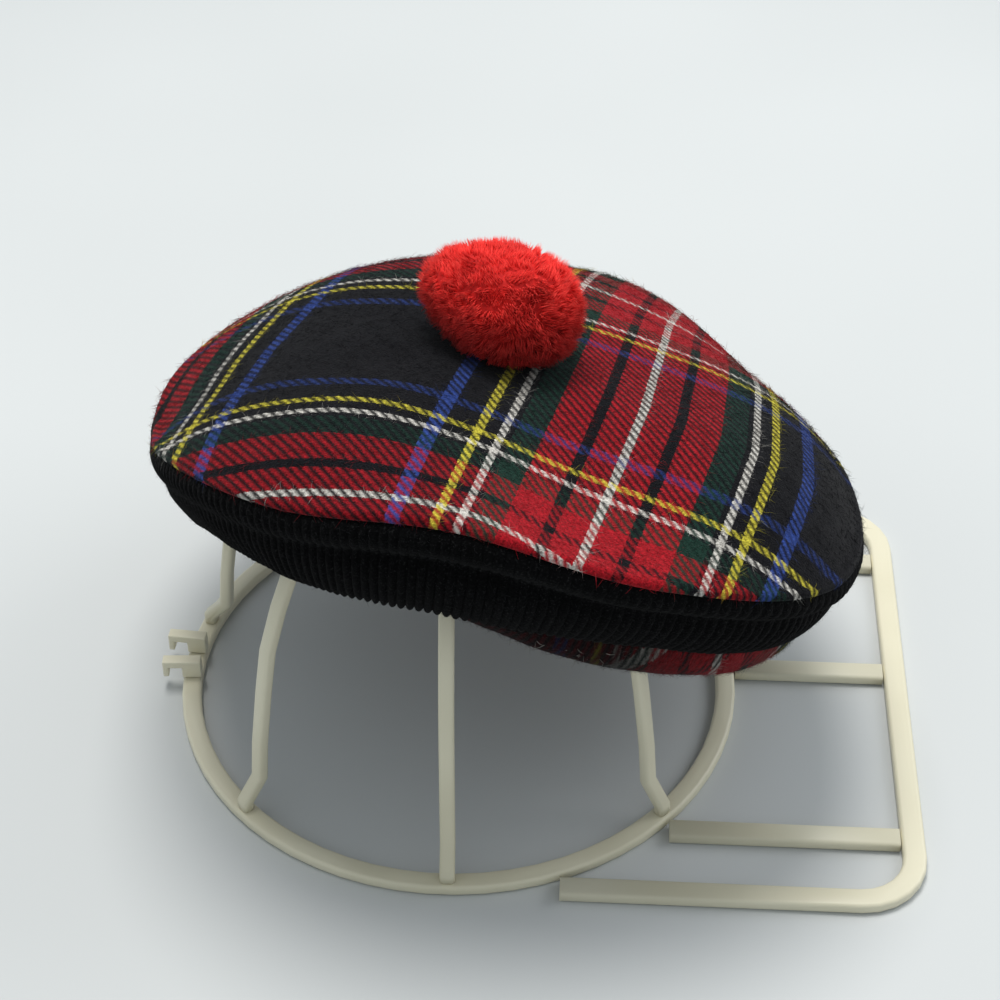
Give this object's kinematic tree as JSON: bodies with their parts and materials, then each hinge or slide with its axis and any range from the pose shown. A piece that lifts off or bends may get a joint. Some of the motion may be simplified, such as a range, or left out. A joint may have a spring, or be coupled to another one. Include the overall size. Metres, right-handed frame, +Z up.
{
  "type": "tartan tam o' shanter with pompom, on a plain cap stand",
  "caption": "Flat round tartan cap with a ribbed knit edge, a tartan underside and a round yarn pompom, draped over an open ribbed plastic cap stand with a flat peak frame.",
  "frame": {"origin": "middle of the bounding box at the height of the stand's underside, on the table", "axes": "+X towards the stand's peak, +Y away from the near side of the hat, +Z up"},
  "size_m": [0.2572, 0.229, 0.167],
  "materials": {
    "tartan_wool": "brushed wool twill in a red, green, blue, yellow, white and black tartan",
    "black_knit": "ribbed black knit",
    "red_yarn": "dense cut yarn",
    "ivory_plastic": "smooth moulded plastic, ivory"
  },
  "bodies": {
    "root": {"crown": "tartan_wool", "band": "black_knit", "underside": "tartan_wool", "pompom": "red_yarn", "stand_ring": "ivory_plastic", "stand_hub": "ivory_plastic", "stand_rib_rear": "ivory_plastic", "stand_rib_rear_near": "ivory_plastic", "stand_rib_side_near": "ivory_plastic", "stand_rib_front_near": "ivory_plastic", "stand_rib_front_far": "ivory_plastic", "stand_rib_side_far": "ivory_plastic", "stand_rib_rear_far": "ivory_plastic", "peak_frame": "ivory_plastic", "peak_bar_near": "ivory_plastic", "peak_bar_middle": "ivory_plastic", "peak_bar_far": "ivory_plastic", "latch_hook_near": "ivory_plastic", "latch_hook_far": "ivory_plastic"}
  },
  "joints": []
}
